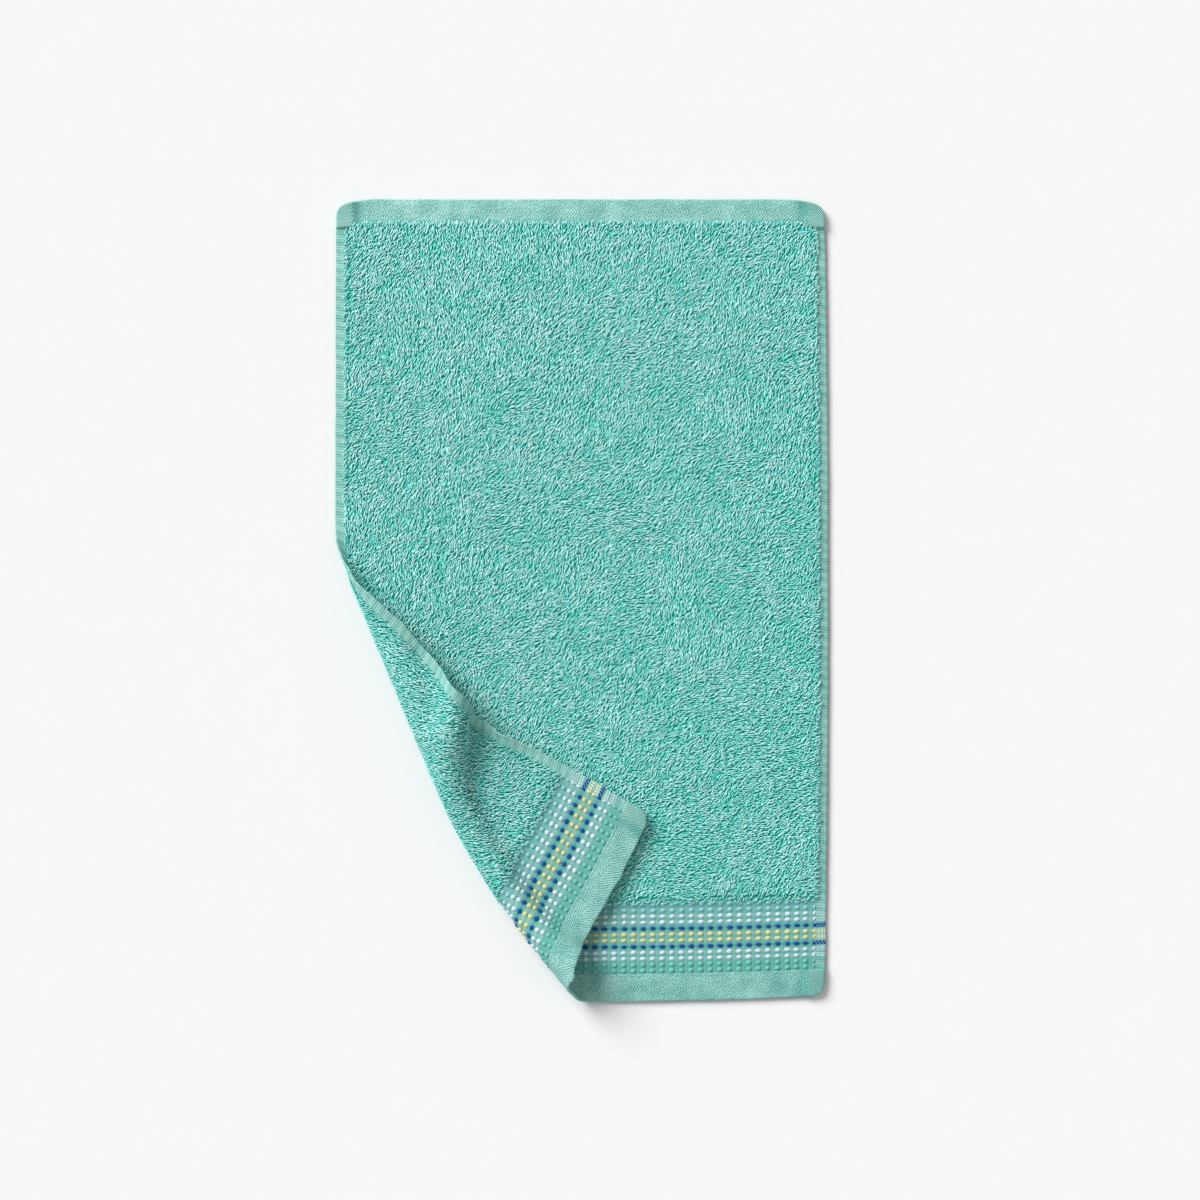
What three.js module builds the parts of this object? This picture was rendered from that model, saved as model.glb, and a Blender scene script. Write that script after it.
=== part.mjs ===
// Terry guest towel lying face up with its lower left corner turned up and over.
// Units are millimetres, +Z is up, the towel's length runs along Y and the plain hem is at +Y.
// Every body is drawn flat in (u, v, w) and then carried onto one draped sheet:
// u runs across from the left edge, v runs up from the lower edge, w stands off the middle of the cloth.

import * as THREE from 'three';

// Overall sizes
const towelWidth = 305;
const towelLength = 499;
const pileHeight = 1.7;
const groundThickness = 0.8;
const layerGap = 0.3;
const sideGap = 0.45;

// Hems, side strips and the woven border
const topHemHeight = 15;
const bottomHemHeight = 15.6;
const hemThickness = 1.8;
const selvedgeWidth = 7;
const selvedgeThickness = 1.0;
const stitchWidth = 0.8;
const stitchThickness = 1.2;
const borderHeight = 45.6;
const borderThickness = 0.9;
const rowStart = 1.65;
const rowPitch = 3.73;
const rowWidth = 2.3;
const rowThickness = 1.8;
const rowNames = [
  'aqua_row_1', 'aqua_row_2', 'white_row_1', 'white_row_2', 'royal_blue_row_1', 'yellow_row_1',
  'yellow_row_2', 'royal_blue_row_2', 'white_row_3', 'white_row_4', 'light_blue_row_1', 'light_blue_row_2',
];

// How the towel lies: the middle is a little wider than the hems, and the corners are drawn in
const middleSpread = 0.009;
const middleShift = 0.9;
const lowerBow = 2.2;
const rightCornerLift = 1.7;
const upperCornerDrop = 2.9;

// The turned corner, measured from the towel's lower left corner
const foldLean = [21.5, 31.0];
const foldPoint = [[4.3, 264.4], [96.5, 58.4]];
const rollRadius = [9, 8.5, 12];
const restGap = 0.8;
const cornerRest = [
  { u: 0, v: 0, x: 193.2, y: 115.6 },
  { u: 0, v: 108, x: 99.6, y: 165.9 },
  { u: 0, v: 124, x: 89.0, y: 172.3 },
  { u: 0, v: 136, x: 88.0, y: 180.0 },
  { u: 0, v: 148, x: 82.5, y: 187.4 },
  { u: 0, v: 160, x: 75.5, y: 193.8 },
  { u: 0, v: 172, x: 69.3, y: 202.5 },
  { u: 0, v: 188, x: 60.3, y: 214.9 },
  { u: 0, v: 216, x: 43.5, y: 236.5 },
  { u: 0, v: 240, x: 25.0, y: 251.6 },
  { u: 0, v: 264, x: 9.1, y: 269.9 },
  { u: 44, v: 0, x: 179.0, y: 73.4 },
  { u: 64, v: 0, x: 168.0, y: 56.8 },
  { u: 84, v: 0, x: 158.0, y: 39.6 },
  { u: 120, v: 0, x: 152.5, y: 13.0 },
];
const ridgeHeights = [
  { u: 0, v: 136, z: 13 },
  { u: 0, v: 144, z: 19 },
  { u: 0, v: 156, z: 25 },
  { u: 24, v: 144, z: 20 },
  { u: 36, v: 136, z: 16 },
];
const foldLimit = [[2.2, 280.5], [77.2, 102.4], [94.7, 68.0], [152.2, -0.8]];
const liftLine = [
  [-18, 318], [-1, 310], [13.5, 287.2], [32.1, 240.3], [60.2, 171.6], [79.1, 115.3],
  [103.0, 73.6], [125.0, 50.8], [155.0, 26.0], [166.5, -4.0], [172.5, -14.0],
];

// The settling net
const netStep = 4;
const netCols = 48;
const netRows = 84;
const settleRounds = 320;
const settlePasses = 3;
const settleDrag = 0.92;
const settleWeight = 0.02;
const netLinks = [
  [1, 0, 1.0], [0, 1, 1.0], [1, 1, 0.35], [1, -1, 0.35], [2, 0, 0.3], [0, 2, 0.3],
  [4, 0, 0.15], [0, 4, 0.15], [2, 2, 0.15], [2, -2, 0.15],
];

const pileReach = groundThickness / 2 + layerGap + pileHeight;
const fullThickness = 2 * pileReach;
const borderStart = bottomHemHeight + sideGap + stitchWidth + sideGap;
const borderEnd = borderStart + borderHeight;
const pileEnd = towelLength - topHemHeight - 2 * sideGap - stitchWidth;

const clamp = (value, low, high) => Math.min(high, Math.max(low, value));
const smooth = (value, low, high) => {
  const t = clamp((value - low) / (high - low), 0, 1);
  return t * t * (3 - 2 * t);
};

// Where a point of the cloth lies when it is laid out flat
function layFlat(u, v) {
  const along = (2 * v) / towelLength - 1;
  const bow = 1 - along * along;
  const x = (u - towelWidth / 2) * (1 + middleSpread * bow) + middleShift * bow;
  const across = u / towelWidth;
  const low = clamp(1 - v / 200, 0, 1) * (rightCornerLift * across ** 4 - lowerBow * Math.sin(Math.PI * across));
  const edge = Math.min(u, towelWidth - u);
  const high = clamp(1 - (towelLength - v) / 70, 0, 1) * upperCornerDrop * (1 - smooth(edge, 0, 22));
  return [x, v - towelLength / 2 + low - high];
}

const fromCorner = ([x, y]) => [x - towelWidth / 2, y - towelLength / 2];

// One straight fold: returns the folded plan point, its height and how far past the fold line it is
function rollOver(x, y, point, lean, radius) {
  const along = [Math.sin(lean), -Math.cos(lean)];
  const inward = [-along[1], along[0]];
  const past = -((x - point[0]) * inward[0] + (y - point[1]) * inward[1]);
  const reach = (Math.PI / 2) * radius;
  const turn = clamp((past + reach) / radius, 0, Math.PI);
  const offset = Math.abs(past) < reach ? reach - radius * Math.sin(turn) : Math.abs(past);
  const shift = offset + past;
  return { x: x + shift * inward[0], y: y + shift * inward[1], z: radius * (1 - Math.cos(turn)), past };
}

// Signed distance to the line where the cloth leaves the table, positive on the part that stays down
function liftDistance(x, y, line) {
  let best = Infinity;
  let sign = 1;
  for (let k = 0; k + 1 < line.length; k += 1) {
    const [ax, ay] = line[k];
    const dx = line[k + 1][0] - ax;
    const dy = line[k + 1][1] - ay;
    const t = clamp(((x - ax) * dx + (y - ay) * dy) / (dx * dx + dy * dy), 0, 1);
    const gap = Math.hypot(x - ax - t * dx, y - ay - t * dy);
    if (gap < best - 1e-9) {
      best = gap;
      sign = (y - ay) * dx - (x - ax) * dy >= 0 ? 1 : -1;
    }
  }
  return best * sign;
}

// First guess of the folded net, and which knots stay on the table
function startNet() {
  const lean = foldLean.map((angle) => (angle * Math.PI) / 180);
  const points = foldPoint.map(fromCorner);
  const line = liftLine.map(fromCorner);
  const along = lean.map((a) => [Math.sin(a), -Math.cos(a)]);
  const cross = along[0][0] * along[1][1] - along[0][1] * along[1][0];
  const gapX = points[1][0] - points[0][0];
  const gapY = points[1][1] - points[0][1];
  const t = (gapX * along[1][1] - gapY * along[1][0]) / cross;
  const meet = [points[0][0] + t * along[0][0], points[0][1] + t * along[0][1]];
  const middle = (lean[0] + lean[1]) / 2;
  const travel = [Math.sin(middle), -Math.cos(middle)];
  const rest = fullThickness / 2;
  const net = [];
  for (let i = 0; i <= netCols; i += 1) {
    for (let j = 0; j <= netRows; j += 1) {
      const [x, y] = layFlat(i * netStep, j * netStep);
      const down = (x - meet[0]) * along[1][0] + (y - meet[1]) * along[1][1];
      const opening = rollRadius[1] + (rollRadius[2] - rollRadius[1]) * clamp(down / 138, 0, 1.2) ** 1.5;
      const one = rollOver(x, y, points[0], lean[0], rollRadius[0]);
      const two = rollOver(x, y, points[1], lean[1], opening);
      const side = (x - meet[0]) * travel[0] + (y - meet[1]) * travel[1];
      const share = 1 / (1 + Math.exp(-side / 6));
      const past = one.past * (1 - share) + two.past * share;
      const ridge = 8 * Math.exp(-((side / 18) ** 2)) * clamp((past - 10) / 50, 0, 1);
      const floor = rest + (fullThickness + restGap) * clamp((past + 2) / 8, 0, 1);
      let z = rest + ridge + one.z * (1 - share) + two.z * share;
      const drop = clamp((past - 14) / 30, 0, 1);
      z = z * (1 - drop) + (floor + ridge) * drop;
      const stays = liftDistance(x, y, line) > 0 || i === netCols || j === netRows;
      net.push({
        x: one.x * (1 - share) + two.x * share,
        y: one.y * (1 - share) + two.y * share,
        z,
        flat: [x, y],
        floor,
        free: stays ? 0 : 1,
      });
    }
  }
  for (const knot of net) {
    if (!knot.free) [knot.x, knot.y, knot.z] = [knot.flat[0], knot.flat[1], rest];
    knot.oldX = knot.x;
    knot.oldY = knot.y;
    knot.oldZ = knot.z;
  }
  return net;
}

const knotAt = (i, j) => i * (netRows + 1) + j;

// Threads of the net: pairs of knots that keep their flat distance, in two alternating sets each
function netThreads(net) {
  const threads = [];
  for (const [di, dj, pull] of netLinks) {
    for (let turn = 0; turn < 2; turn += 1) {
      for (let i = 0; i + di <= netCols; i += 1) {
        for (let j = Math.max(0, -dj); j <= netRows && j + dj <= netRows; j += 1) {
          const set = di ? Math.floor(i / di) % 2 : Math.floor(j / dj) % 2;
          const a = net[knotAt(i, j)];
          const b = net[knotAt(i + di, j + dj)];
          if (set === turn && a.free + b.free > 0) {
            const length = Math.hypot(a.flat[0] - b.flat[0], a.flat[1] - b.flat[1]);
            threads.push({ a, b, length, pull, shareA: a.free / (a.free + b.free) });
          }
        }
      }
    }
  }
  return threads;
}

function pullThreads(threads) {
  for (const { a, b, length, pull, shareA } of threads) {
    const dx = b.x - a.x;
    const dy = b.y - a.y;
    const dz = b.z - a.z;
    const now = Math.sqrt(dx * dx + dy * dy + dz * dz);
    const f = (pull * (now - length)) / now;
    a.x += f * dx * shareA;
    a.y += f * dy * shareA;
    a.z += f * dz * shareA;
    b.x -= f * dx * (1 - shareA);
    b.y -= f * dy * (1 - shareA);
    b.z -= f * dz * (1 - shareA);
  }
}

// Lets the turned corner settle under its own weight on the towel below it
function settleNet() {
  const net = startNet();
  const threads = netThreads(net);
  const loose = net.filter((knot) => knot.free);
  const limit = foldLimit.map(fromCorner);
  for (let round = 0; round < settleRounds; round += 1) {
    for (const knot of loose) {
      const [x, y, z] = [knot.x, knot.y, knot.z];
      knot.x += (x - knot.oldX) * settleDrag;
      knot.y += (y - knot.oldY) * settleDrag;
      knot.z += (z - knot.oldZ) * settleDrag - settleWeight;
      [knot.oldX, knot.oldY, knot.oldZ] = [x, y, z];
    }
    for (let pass = 0; pass < settlePasses; pass += 1) {
      pullThreads(threads);
      for (const knot of loose) knot.z = Math.max(knot.z, knot.floor);
      for (const aim of cornerRest) {
        const knot = net[knotAt(aim.u / netStep, aim.v / netStep)];
        const [x, y] = fromCorner([aim.x, aim.y]);
        knot.x += 0.3 * (x - knot.x);
        knot.y += 0.3 * (y - knot.y);
      }
      for (const aim of ridgeHeights) {
        const knot = net[knotAt(aim.u / netStep, aim.v / netStep)];
        knot.z = Math.max(knot.z, aim.z);
      }
      for (let k = 0; k + 1 < limit.length; k += 1) {
        const dx = limit[k + 1][0] - limit[k][0];
        const dy = limit[k + 1][1] - limit[k][1];
        const size = Math.hypot(dx, dy);
        for (const knot of loose) {
          const past = ((knot.y - limit[k][1]) * dx - (knot.x - limit[k][0]) * dy) / size;
          if (past < 0 && knot.flat[1] < limit[0][1] + 38) {
            knot.x += (past * dy) / size;
            knot.y -= (past * dx) / size;
          }
        }
      }
    }
  }
  return net;
}

const net = settleNet();

// A knot's place, with one row continued straight past each side of the net
function knotPlace(i, j) {
  if (i < 0 || j < 0) {
    const near = [Math.max(i, 0), Math.max(j, 0)];
    const next = [near[0] + (i < 0 ? 1 : 0), near[1] + (j < 0 ? 1 : 0)];
    const a = knotPlace(near[0], near[1]);
    const b = knotPlace(next[0], next[1]);
    return a.map((value, k) => 2 * value - b[k]);
  }
  if (i <= netCols && j <= netRows) {
    const knot = net[knotAt(i, j)];
    return [knot.x, knot.y, knot.z];
  }
  return [...layFlat(i * netStep, j * netStep), fullThickness / 2];
}

const splineWeights = (t) => [
  (1 - t) ** 3 / 6,
  (3 * t ** 3 - 6 * t * t + 4) / 6,
  (-3 * t ** 3 + 3 * t * t + 3 * t + 1) / 6,
  t ** 3 / 6,
];
const splineSlopes = (t) => [
  -((1 - t) ** 2) / 2,
  (3 * t * t - 4 * t) / 2,
  (-3 * t * t + 2 * t + 1) / 2,
  (t * t) / 2,
];

// Middle of the cloth and its upward normal at (u, v)
function sheetPoint(u, v) {
  const i = clamp(Math.floor(u / netStep), 0, Math.ceil(towelWidth / netStep));
  const j = clamp(Math.floor(v / netStep), 0, Math.ceil(towelLength / netStep));
  const [s, t] = [u / netStep - i, v / netStep - j];
  const [ws, ds, wt, dt] = [splineWeights(s), splineSlopes(s), splineWeights(t), splineSlopes(t)];
  const place = new THREE.Vector3();
  const acrossU = new THREE.Vector3();
  const acrossV = new THREE.Vector3();
  for (let a = 0; a < 4; a += 1) {
    for (let b = 0; b < 4; b += 1) {
      const knot = new THREE.Vector3(...knotPlace(i + a - 1, j + b - 1));
      place.addScaledVector(knot, ws[a] * wt[b]);
      acrossU.addScaledVector(knot, ds[a] * wt[b]);
      acrossV.addScaledVector(knot, ws[a] * dt[b]);
    }
  }
  return { place, normal: acrossU.cross(acrossV).normalize() };
}

// Thickness of the towel at (u, v); hems, side strips and border slope down from the pile
function thicknessAt(u, v) {
  const edge = Math.min(u, towelWidth - u);
  const pile = smooth(edge, 0, selvedgeWidth)
    * smooth(v, borderEnd - 7, borderEnd)
    * smooth(towelLength - v, topHemHeight - 7, towelLength - pileEnd);
  const inHem = 1 - smooth(Math.min(v - bottomHemHeight, pileEnd - v), 0, 4);
  const thin = selvedgeThickness + (hemThickness - selvedgeThickness) * Math.max(inHem, smooth(edge, 3, selvedgeWidth));
  return thin + (fullThickness - thin) * pile;
}

// Carries a point of the flat towel onto the draped sheet
function drape(u, v, w) {
  const { place, normal } = sheetPoint(u, v);
  const sink = ((fullThickness - thicknessAt(u, v)) / 2) * normal.z * normal.z;
  return [place.x + w * normal.x, place.y + w * normal.y, place.z + w * normal.z - sink];
}

// Cuts of the flat towel: strips across the fold, with close lines along the roll
const foldCentre = [
  [-14, 410], [2, 330], [6, 285], [22, 228], [42, 176], [62, 124], [80, 88], [98, 58], [122, 26], [150, -6],
];
const stripsBetween = [1, 3, 4, 6, 6, 4, 2, 2, 2];
const acrossFold = [
  -500, -220, -130, -60, -22, -17, -12, -7, -2, 3, 8, 13, 18, 24, 31, 38, 45, 53, 64, 80, 105, 140,
];

function cutLines() {
  const last = foldCentre.length - 1;
  const outward = foldCentre.map((point, k) => {
    const before = foldCentre[Math.max(0, k - 1)];
    const after = foldCentre[Math.min(last, k + 1)];
    const size = Math.hypot(after[0] - before[0], after[1] - before[1]);
    return [(after[1] - before[1]) / size, -(after[0] - before[0]) / size];
  });
  const lines = [];
  const addLine = (k, t) => {
    const next = Math.min(last, k + 1);
    const mix = (list, axis) => list[k][axis] * (1 - t) + list[next][axis] * t;
    lines.push(acrossFold.map((d) => [0, 1].map((axis) => mix(foldCentre, axis) + d * mix(outward, axis))));
  };
  stripsBetween.forEach((count, k) => {
    for (let n = 0; n < count; n += 1) addLine(k, n / count);
  });
  addLine(last, 0);
  return lines;
}

function cutCells() {
  const lines = cutLines();
  const far = 900;
  const first = acrossFold.map((d, m) => [lines[0][m][0], lines[0][m][1] + far]);
  const last = acrossFold.map((d, m) => [lines.at(-1)[m][0] + far, lines.at(-1)[m][1] - far]);
  const all = [first, ...lines, last];
  const cells = [];
  for (let k = 0; k + 1 < all.length; k += 1) {
    for (let m = 0; m + 1 < acrossFold.length; m += 1) {
      cells.push([all[k][m], all[k][m + 1], all[k + 1][m + 1], all[k + 1][m]]);
    }
  }
  return cells;
}

const cells = cutCells();

function clipSide(poly, axis, limit, keepAbove) {
  const out = [];
  for (let k = 0; k < poly.length; k += 1) {
    const a = poly[k];
    const b = poly[(k + 1) % poly.length];
    const insideA = keepAbove ? a[axis] >= limit : a[axis] <= limit;
    const insideB = keepAbove ? b[axis] >= limit : b[axis] <= limit;
    if (insideA) out.push(a);
    if (insideA !== insideB) {
      const t = (limit - a[axis]) / (b[axis] - a[axis]);
      const cut = [a[0] + t * (b[0] - a[0]), a[1] + t * (b[1] - a[1])];
      cut[axis] = limit;
      out.push(cut);
    }
  }
  return out;
}

function clipToBox(poly, [u0, u1, v0, v1]) {
  let out = clipSide(poly, 0, u0, true);
  out = clipSide(out, 0, u1, false);
  out = clipSide(out, 1, v0, true);
  return clipSide(out, 1, v1, false);
}

// A closed draped body over flat boxes that share whole edges, between two heights
function drapedSlab(boxes, low, high) {
  const flat = [];
  const index = new Map();
  const find = ([u, v]) => {
    const key = `${Math.round(u * 2000)},${Math.round(v * 2000)}`;
    if (!index.has(key)) {
      index.set(key, flat.length);
      flat.push([u, v]);
    }
    return index.get(key);
  };
  const faces = [];
  for (const box of boxes) {
    for (const cell of cells) {
      const ring = clipToBox(cell, box).map(find);
      const poly = ring.filter((id, k) => id !== ring[(k + 1) % ring.length]);
      if (poly.length < 3) continue;
      let area = 0;
      poly.forEach((id, k) => {
        const [a, b] = [flat[id], flat[poly[(k + 1) % poly.length]]];
        area += a[0] * b[1] - a[1] * b[0];
      });
      if (Math.abs(area) < 1e-3) continue;
      if (area < 0) poly.reverse();
      for (let k = 1; k + 1 < poly.length; k += 1) faces.push([poly[0], poly[k], poly[k + 1]]);
    }
  }
  const edges = new Set(faces.flatMap(([a, b, c]) => [`${a},${b}`, `${b},${c}`, `${c},${a}`]));
  const position = [];
  for (const [u, v] of flat) position.push(...drape(u, v, high));
  for (const [u, v] of flat) position.push(...drape(u, v, low));
  const count = flat.length;
  const triangles = [];
  for (const [a, b, c] of faces) {
    triangles.push(a, b, c);
    triangles.push(a + count, c + count, b + count);
  }
  for (const edge of edges) {
    const [a, b] = edge.split(',').map(Number);
    if (!edges.has(`${b},${a}`)) {
      triangles.push(a, a + count, b);
      triangles.push(b, a + count, b + count);
    }
  }
  const geometry = new THREE.BufferGeometry();
  geometry.setAttribute('position', new THREE.Float32BufferAttribute(position, 3));
  geometry.setIndex(triangles);
  geometry.computeVertexNormals();
  return geometry;
}

function piece(name, geometry, colour, roughness) {
  const material = new THREE.MeshStandardMaterial({ color: colour, roughness, metalness: 0 });
  const mesh = new THREE.Mesh(geometry, material);
  mesh.name = name;
  return mesh;
}

const inner = [selvedgeWidth + sideGap, towelWidth - selvedgeWidth - sideGap];

function pileCloth() {
  const field = [[...inner, borderEnd + sideGap, pileEnd]];
  const half = groundThickness / 2;
  return [
    piece('ground_cloth', drapedSlab(field, -half, half), 0x5fae9c, 0.95),
    piece('face_pile', drapedSlab(field, half + layerGap, pileReach), 0x6cc4b0, 1.0),
    piece('back_pile', drapedSlab(field, -pileReach, -half - layerGap), 0x6cc4b0, 1.0),
  ];
}

const rowColours = {
  aqua: 0x64cdb4, white: 0xd7e4f0, royal_blue: 0x0050a5, yellow: 0xe2d696, light_blue: 0x96d0da,
};
const rowCentre = (k) => borderStart + rowStart + k * rowPitch;

// The border's ground weave is one body with a slot for every raised yarn row
function border() {
  const slotIn = [inner[0] + 3, inner[1] - 3];
  const slotHalf = rowWidth / 2 + sideGap;
  const breaks = [borderStart];
  rowNames.forEach((name, k) => breaks.push(rowCentre(k) - slotHalf, rowCentre(k) + slotHalf));
  breaks.push(borderEnd);
  const boxes = [];
  for (let k = 0; k + 1 < breaks.length; k += 1) {
    boxes.push([inner[0], slotIn[0], breaks[k], breaks[k + 1]]);
    boxes.push([slotIn[1], inner[1], breaks[k], breaks[k + 1]]);
    if (k % 2 === 0) boxes.push([...slotIn, breaks[k], breaks[k + 1]]);
  }
  const weave = drapedSlab(boxes, -borderThickness / 2, borderThickness / 2);
  const pieces = [piece('border_ground', weave, 0x7cc9ba, 0.9)];
  rowNames.forEach((name, k) => {
    const box = [slotIn[0] + sideGap, slotIn[1] - sideGap, rowCentre(k) - rowWidth / 2, rowCentre(k) + rowWidth / 2];
    const bar = drapedSlab([box], -rowThickness / 2, rowThickness / 2);
    pieces.push(piece(name, bar, rowColours[name.replace(/_row_\d+$/, '')], 0.8));
  });
  return pieces;
}

function edges() {
  const half = hemThickness / 2;
  const thin = selvedgeThickness / 2;
  const thread = stitchThickness / 2;
  const seamLow = bottomHemHeight + sideGap;
  const seamHigh = pileEnd + sideGap;
  const sides = [borderStart, pileEnd];
  return [
    piece('bottom_hem', drapedSlab([[0, towelWidth, 0, bottomHemHeight]], -half, half), 0x84c8ba, 0.9),
    piece('top_hem', drapedSlab([[0, towelWidth, towelLength - topHemHeight, towelLength]], -half, half), 0x84c8ba, 0.9),
    piece('left_selvedge', drapedSlab([[0, selvedgeWidth, ...sides]], -thin, thin), 0x84c8ba, 0.9),
    piece('right_selvedge', drapedSlab([[towelWidth - selvedgeWidth, towelWidth, ...sides]], -thin, thin), 0x84c8ba, 0.9),
    piece('bottom_hem_stitching', drapedSlab([[0, towelWidth, seamLow, seamLow + stitchWidth]], -thread, thread), 0x6fbcaa, 0.8),
    piece('top_hem_stitching', drapedSlab([[0, towelWidth, seamHigh, seamHigh + stitchWidth]], -thread, thread), 0x6fbcaa, 0.8),
  ];
}

const towel = new THREE.Group();
towel.name = 'guest_towel';
for (const mesh of [...pileCloth(), ...border(), ...edges()]) towel.add(mesh);

// Stand the lowest point on the table and centre the towel over the origin
towel.updateMatrixWorld(true);
const box = new THREE.Box3().setFromObject(towel);
const centre = box.getCenter(new THREE.Vector3());
for (const mesh of towel.children) mesh.geometry.translate(-centre.x, -centre.y, -box.min.z);

export default towel;
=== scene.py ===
# A terry guest towel lying flat with its lower left corner turned up and over
import bpy, math
import numpy as np
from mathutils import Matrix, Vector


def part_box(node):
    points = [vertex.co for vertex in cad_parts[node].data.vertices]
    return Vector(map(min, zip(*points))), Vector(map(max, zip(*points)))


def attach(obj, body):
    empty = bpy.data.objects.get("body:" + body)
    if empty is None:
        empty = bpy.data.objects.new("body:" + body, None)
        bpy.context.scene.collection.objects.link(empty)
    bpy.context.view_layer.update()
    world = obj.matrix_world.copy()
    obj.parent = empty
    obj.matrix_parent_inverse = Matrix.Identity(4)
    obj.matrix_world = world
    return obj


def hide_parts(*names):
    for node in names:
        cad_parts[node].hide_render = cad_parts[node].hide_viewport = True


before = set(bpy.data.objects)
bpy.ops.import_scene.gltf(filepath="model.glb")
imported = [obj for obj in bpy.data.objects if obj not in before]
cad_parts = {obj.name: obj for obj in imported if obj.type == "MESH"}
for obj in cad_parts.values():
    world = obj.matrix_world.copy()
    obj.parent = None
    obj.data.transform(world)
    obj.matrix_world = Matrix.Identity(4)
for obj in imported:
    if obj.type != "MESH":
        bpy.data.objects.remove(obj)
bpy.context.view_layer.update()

# The cloth is worked out flat, in millimetres: u across, v up from the lower edge, w off its middle
towel = dict(width=305.0, length=499.0, pile=1.7, ground=0.8, gap=0.3, topHem=15.0, bottomHem=15.6,
             hemThick=1.8, side=7.0, sideThick=1.0, seam=0.8, seamGap=0.45, border=45.6)
towel["full"] = towel["ground"] + 2 * (towel["gap"] + towel["pile"])
towel["borderStart"] = towel["bottomHem"] + 2 * towel["seamGap"] + towel["seam"]
towel["borderEnd"] = towel["borderStart"] + towel["border"]
towel["pileEnd"] = towel["length"] - towel["topHem"] - 2 * towel["seamGap"] - towel["seam"]

lie = dict(spread=0.009, shift=0.9, lowerBow=2.2, rightLift=1.7, upperDrop=2.9,
           lowerReach=200, upperReach=70, cornerReach=22)

turn = dict(  # the turned corner, from the towel's lower left corner
    lean=(21.5, 31.0), points=((4.3, 264.4), (96.5, 58.4)), radius=(9.0, 8.5, 12.0), restGap=0.8,
    farReach=138, blend=6, ridgeHeight=8, ridgeWidth=18, lowMargin=38, aimPull=0.3,
    aims=((0, 0, 193.2, 115.6), (0, 108, 99.6, 165.9), (0, 124, 89.0, 172.3), (0, 136, 88.0, 180.0),
          (0, 148, 82.5, 187.4), (0, 160, 75.5, 193.8), (0, 172, 69.3, 202.5), (0, 188, 60.3, 214.9),
          (0, 216, 43.5, 236.5), (0, 240, 25.0, 251.6), (0, 264, 9.1, 269.9), (44, 0, 179.0, 73.4),
          (64, 0, 168.0, 56.8), (84, 0, 158.0, 39.6), (120, 0, 152.5, 13.0)),
    ridges=((0, 136, 13.0), (0, 144, 19.0), (0, 156, 25.0), (24, 144, 20.0), (36, 136, 16.0)),
    limit=((2.2, 280.5), (77.2, 102.4), (94.7, 68.0), (152.2, -0.8)),
    liftLine=((-18, 318), (-1, 310), (13.5, 287.2), (32.1, 240.3), (60.2, 171.6), (79.1, 115.3),
              (103.0, 73.6), (125.0, 50.8), (155.0, 26.0), (166.5, -4.0), (172.5, -14.0)))

net = dict(step=4.0, cols=48, rows=84, rounds=320, passes=3, drag=0.92, weight=0.02,
           links=((1, 0, 1.0), (0, 1, 1.0), (1, 1, 0.35), (1, -1, 0.35), (2, 0, 0.3), (0, 2, 0.3),
                  (4, 0, 0.15), (0, 4, 0.15), (2, 2, 0.15), (2, -2, 0.15)))


def smooth(value, low, high):
    t = np.clip((value - low) / (high - low), 0, 1)
    return t * t * (3 - 2 * t)


def layFlat(u, v):
    bow = 1 - (2 * v / towel["length"] - 1) ** 2
    x = (u - towel["width"] / 2) * (1 + lie["spread"] * bow) + lie["shift"] * bow
    across = u / towel["width"]
    lower = lie["rightLift"] * across ** 4 - lie["lowerBow"] * np.sin(np.pi * across)
    low = np.clip(1 - v / lie["lowerReach"], 0, 1) * lower
    edge = np.minimum(u, towel["width"] - u)
    corner = 1 - smooth(edge, 0, lie["cornerReach"])
    high = np.clip(1 - (towel["length"] - v) / lie["upperReach"], 0, 1) * lie["upperDrop"] * corner
    return x, v - towel["length"] / 2 + low - high


def fromCorner(point):
    return np.array(point[:2], float) - (towel["width"] / 2, towel["length"] / 2)


# One straight fold: place, height and how far past the fold
def rollOver(x, y, point, lean, radius):
    inward = np.array((math.cos(lean), math.sin(lean)))
    past = -((x - point[0]) * inward[0] + (y - point[1]) * inward[1])
    reach = math.pi / 2 * radius
    angle = np.clip((past + reach) / radius, 0, math.pi)
    offset = np.where(np.abs(past) < reach, reach - radius * np.sin(angle), np.abs(past))
    moved = offset + past
    return x + moved * inward[0], y + moved * inward[1], radius * (1 - np.cos(angle)), past


def liftDistance(x, y):  # positive on the part that stays on the table
    line = [fromCorner(p) for p in turn["liftLine"]]
    best, sign = np.full(x.shape, 1e9), np.ones(x.shape)
    for a, b in zip(line[:-1], line[1:]):
        d = b - a
        t = np.clip(((x - a[0]) * d[0] + (y - a[1]) * d[1]) / (d @ d), 0, 1)
        gap = np.hypot(x - a[0] - t * d[0], y - a[1] - t * d[1])
        nearer = gap < best - 1e-9
        best = np.where(nearer, gap, best)
        sign = np.where(nearer, np.where((y - a[1]) * d[0] - (x - a[0]) * d[1] >= 0, 1, -1), sign)
    return best * sign


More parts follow.
